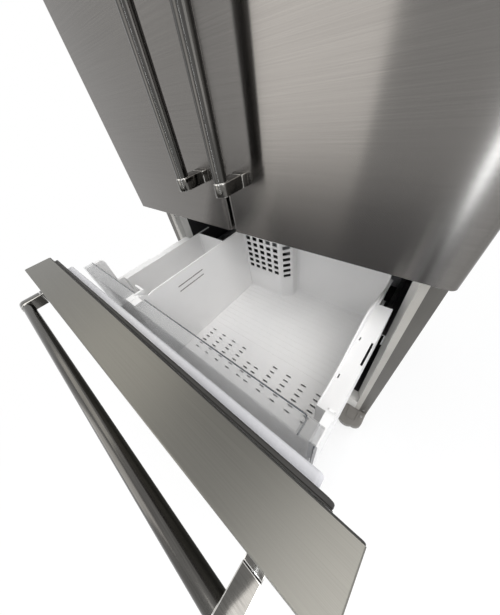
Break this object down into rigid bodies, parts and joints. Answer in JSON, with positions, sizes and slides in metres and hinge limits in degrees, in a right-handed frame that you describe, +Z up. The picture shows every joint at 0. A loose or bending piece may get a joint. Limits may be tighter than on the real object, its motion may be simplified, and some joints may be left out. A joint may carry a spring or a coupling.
{
  "type": "bottom freezer refrigerator",
  "caption": "Stainless refrigerator with side-by-side upper doors and a pull-out freezer drawer, which stands open and shows its basket.",
  "frame": {"origin": "on the floor, under the middle of the whole outline with the freezer drawer pulled out", "axes": "+Z is up, +X is to the right for a person who faces the doors, and +Y points to the back of the cabinet"},
  "size_m": [0.91, 1.175, 1.778],
  "materials": {
    "door_steel": "satin",
    "handle_steel": "polished",
    "bracket_steel": "polished",
    "cabinet_paint": "satin",
    "border_plastic": "matte",
    "liner_white": "gloss",
    "liner_dark": "matte",
    "cover_plastic": "matte",
    "seal_rubber": "matte",
    "bin_white": "satin",
    "smoked_clear": "gloss",
    "clear_plastic": "gloss",
    "shelf_glass": "gloss",
    "zinc_steel": "matte",
    "black_plastic": "matte",
    "coil_aluminium": "satin",
    "black_steel": "satin",
    "foam": "matte"
  },
  "bodies": {
    "cabinet": {"cabinet_shell": "cabinet_paint", "back_panel": "zinc_steel", "cabinet_foam": "foam", "fridge_liner": "liner_white", "freezer_liner": "liner_dark", "fridge_front_frame": "border_plastic", "freezer_front_frame": "border_plastic", "base_frame": "zinc_steel", "foot_covers": "cover_plastic", "top_hinges": "zinc_steel", "hinge_covers": "cover_plastic", "centre_hinges": "zinc_steel", "shelf_glass": "shelf_glass", "shelf_frames": "liner_white", "air_duct": "liner_white", "control_panel": "liner_white", "evaporator_cover": "liner_white", "evaporator": "coil_aluminium", "compressor": "black_steel", "condenser": "coil_aluminium", "drain_pan": "black_plastic", "machine_cover": "zinc_steel", "power_inlet": "black_plastic", "cabinet_slides": "zinc_steel"},
    "left_door": {"left_door_skin": "door_steel", "left_door_caps": "cover_plastic", "left_door_foam": "foam", "left_door_liner": "liner_white", "left_door_seal": "seal_rubber", "left_door_handle": "handle_steel", "left_door_brackets": "bracket_steel", "left_door_bins": "clear_plastic"},
    "right_door": {"right_door_skin": "door_steel", "right_door_caps": "cover_plastic", "right_door_foam": "foam", "right_door_liner": "liner_white", "right_door_seal": "seal_rubber", "right_door_handle": "handle_steel", "right_door_brackets": "bracket_steel", "right_door_bins": "clear_plastic"},
    "flip_bar": {"flip_bar": "cover_plastic"},
    "left_crisper": {"left_crisper": "clear_plastic"},
    "right_crisper": {"right_crisper": "clear_plastic"},
    "left_foot": {"left_foot": "black_plastic"},
    "right_foot": {"right_foot": "black_plastic"},
    "rear_wheels": {"rear_wheels": "black_plastic"},
    "evaporator_fan": {"evaporator_fan": "black_plastic"},
    "condenser_fan": {"condenser_fan": "black_plastic"},
    "mid_rails": {"mid_rails": "zinc_steel"},
    "drawer": {"drawer_frame": "zinc_steel", "drawer_skin": "door_steel", "drawer_foam": "foam", "drawer_liner": "liner_white", "drawer_seal": "seal_rubber", "drawer_handle": "handle_steel", "drawer_handle_brackets": "bracket_steel", "lower_bin": "bin_white"},
    "basket": {"basket": "bin_white", "clear_front": "smoked_clear", "divider": "bin_white"}
  },
  "joints": [
    {"name": "left_door_hinge", "type": "hinge", "parent": "cabinet", "child": "left_door", "pos_m": [-0.433, -0.0875, 0.778], "axis": [0, 0, -1], "range_deg": [0, 115]},
    {"name": "right_door_hinge", "type": "hinge", "parent": "cabinet", "child": "right_door", "pos_m": [0.433, -0.0875, 0.778], "axis": [0, 0, 1], "range_deg": [0, 115]},
    {"name": "flip_bar_pivot", "type": "hinge", "parent": "left_door", "child": "flip_bar", "pos_m": [-0.02, -0.0295, 0.82], "axis": [0, 0, -1], "range_deg": [0, 90]},
    {"name": "left_crisper_slide", "type": "slide", "parent": "cabinet", "child": "left_crisper", "axis": [0, -1, 0], "range_m": [0, 0.201]},
    {"name": "right_crisper_slide", "type": "slide", "parent": "cabinet", "child": "right_crisper", "axis": [0, -1, 0], "range_m": [0, 0.201]},
    {"name": "drawer_slide", "type": "slide", "parent": "cabinet", "child": "drawer", "axis": [0, -1, 0], "range_m": [-0.4, 0]},
    {"name": "mid_rail_slide", "type": "slide", "parent": "cabinet", "child": "mid_rails", "axis": [0, -1, 0], "range_m": [-0.2, 0]},
    {"name": "basket_slide", "type": "slide", "parent": "drawer", "child": "basket", "axis": [0, 1, 0], "range_m": [0, 0.3]},
    {"name": "left_foot_turn", "type": "hinge", "parent": "cabinet", "child": "left_foot", "pos_m": [-0.415, -0.0675, 0], "axis": [0, 0, 1], "continuous": true},
    {"name": "right_foot_turn", "type": "hinge", "parent": "cabinet", "child": "right_foot", "pos_m": [0.415, -0.0675, 0], "axis": [0, 0, 1], "continuous": true},
    {"name": "rear_wheels_spin", "type": "hinge", "parent": "cabinet", "child": "rear_wheels", "pos_m": [0, 0.5225, 0.026], "axis": [1, 0, 0], "continuous": true},
    {"name": "evaporator_fan_spin", "type": "hinge", "parent": "cabinet", "child": "evaporator_fan", "pos_m": [0, 0.5035, 0.643], "axis": [0, 1, 0], "continuous": true},
    {"name": "condenser_fan_spin", "type": "hinge", "parent": "cabinet", "child": "condenser_fan", "pos_m": [-0.092, 0.4945, 0.152], "axis": [1, 0, 0], "continuous": true}
  ],
  "couplings": [
    {"joint": "left_crisper_slide", "follows": "left_door_hinge", "m_per_rad": 0.1},
    {"joint": "right_crisper_slide", "follows": "right_door_hinge", "m_per_rad": 0.1},
    {"joint": "mid_rail_slide", "follows": "drawer_slide", "ratio": 0.5}
  ]
}
